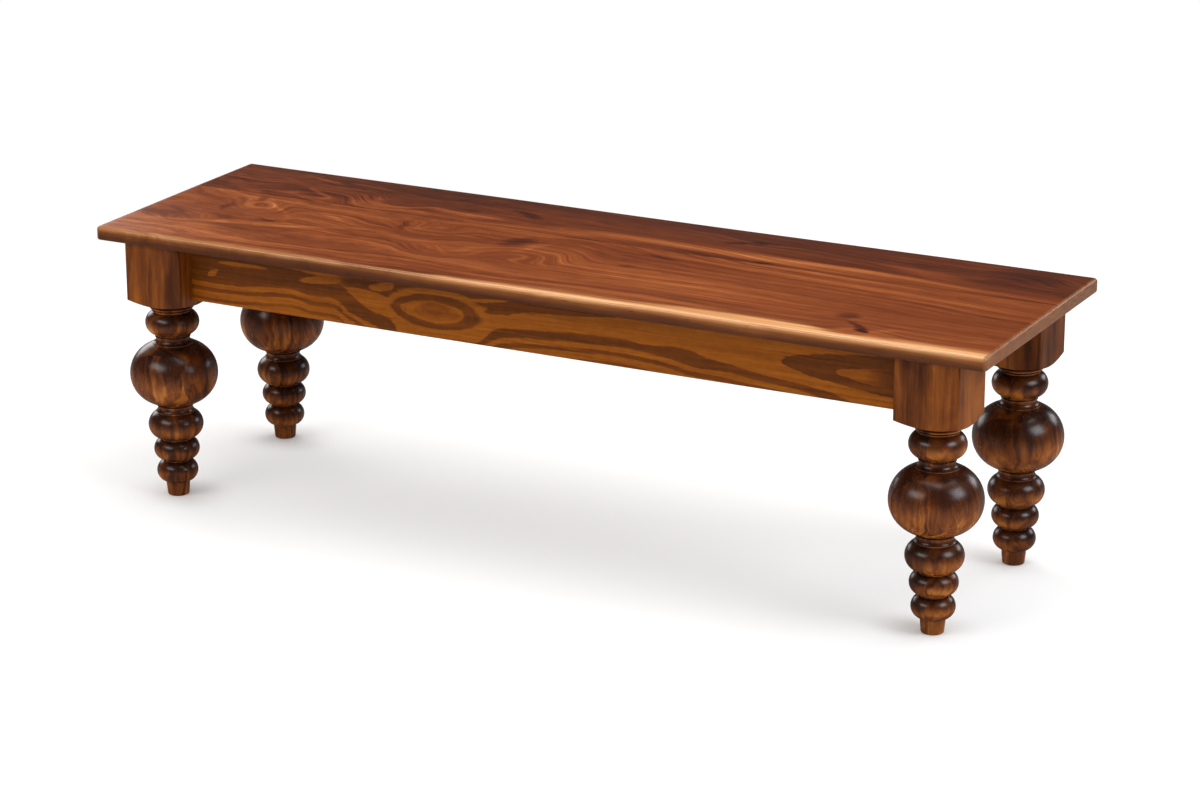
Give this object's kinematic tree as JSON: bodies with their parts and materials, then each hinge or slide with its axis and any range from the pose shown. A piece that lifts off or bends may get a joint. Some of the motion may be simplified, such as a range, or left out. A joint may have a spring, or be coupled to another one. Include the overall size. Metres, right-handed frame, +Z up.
{
  "type": "bench",
  "caption": "Backless bench: a long plank seat over deep aprons, carried on heavy turned legs with stacked beads and a large bulb under square corner blocks.",
  "frame": {"origin": "on the floor under the middle of the seat", "axes": "+X along the seat to the right end, +Y from the front edge to the back edge, +Z up"},
  "size_m": [1.524, 0.47, 0.457],
  "materials": {
    "seat_wood": "semi-gloss oiled walnut",
    "apron_wood": "semi-gloss oiled walnut with bold figure",
    "leg_wood": "glossy lacquered walnut, dark on the turnings",
    "hidden_wood": "bare hardwood",
    "screw_steel": "bright zinc plate"
  },
  "bodies": {
    "root": {"top_board_front": "seat_wood", "top_board_back": "seat_wood", "seat_tongue": "hidden_wood", "leg_front_left_outer_half": "leg_wood", "leg_front_left_inner_half": "leg_wood", "leg_front_left_cheek_front": "leg_wood", "leg_front_left_cheek_back": "leg_wood", "leg_front_left_cheek_outer": "leg_wood", "leg_front_left_cheek_inner": "leg_wood", "leg_front_right_outer_half": "leg_wood", "leg_front_right_inner_half": "leg_wood", "leg_front_right_cheek_front": "leg_wood", "leg_front_right_cheek_back": "leg_wood", "leg_front_right_cheek_outer": "leg_wood", "leg_front_right_cheek_inner": "leg_wood", "leg_back_left_outer_half": "leg_wood", "leg_back_left_inner_half": "leg_wood", "leg_back_left_cheek_front": "leg_wood", "leg_back_left_cheek_back": "leg_wood", "leg_back_left_cheek_outer": "leg_wood", "leg_back_left_cheek_inner": "leg_wood", "leg_back_right_outer_half": "leg_wood", "leg_back_right_inner_half": "leg_wood", "leg_back_right_cheek_front": "leg_wood", "leg_back_right_cheek_back": "leg_wood", "leg_back_right_cheek_outer": "leg_wood", "leg_back_right_cheek_inner": "leg_wood", "apron_front": "apron_wood", "apron_back": "apron_wood", "end_rail_left": "apron_wood", "cross_rail_left": "hidden_wood", "end_rail_right": "apron_wood", "cross_rail_right": "hidden_wood", "apron_pins": "hidden_wood", "end_rail_pins": "hidden_wood", "seat_button_front_left": "hidden_wood", "seat_button_front_middle": "hidden_wood", "seat_button_front_right": "hidden_wood", "seat_button_back_left": "hidden_wood", "seat_button_back_middle": "hidden_wood", "seat_button_back_right": "hidden_wood", "seat_button_left": "hidden_wood", "seat_button_right": "hidden_wood", "seat_button_screws": "screw_steel", "cross_rail_screws": "screw_steel"}
  },
  "joints": []
}
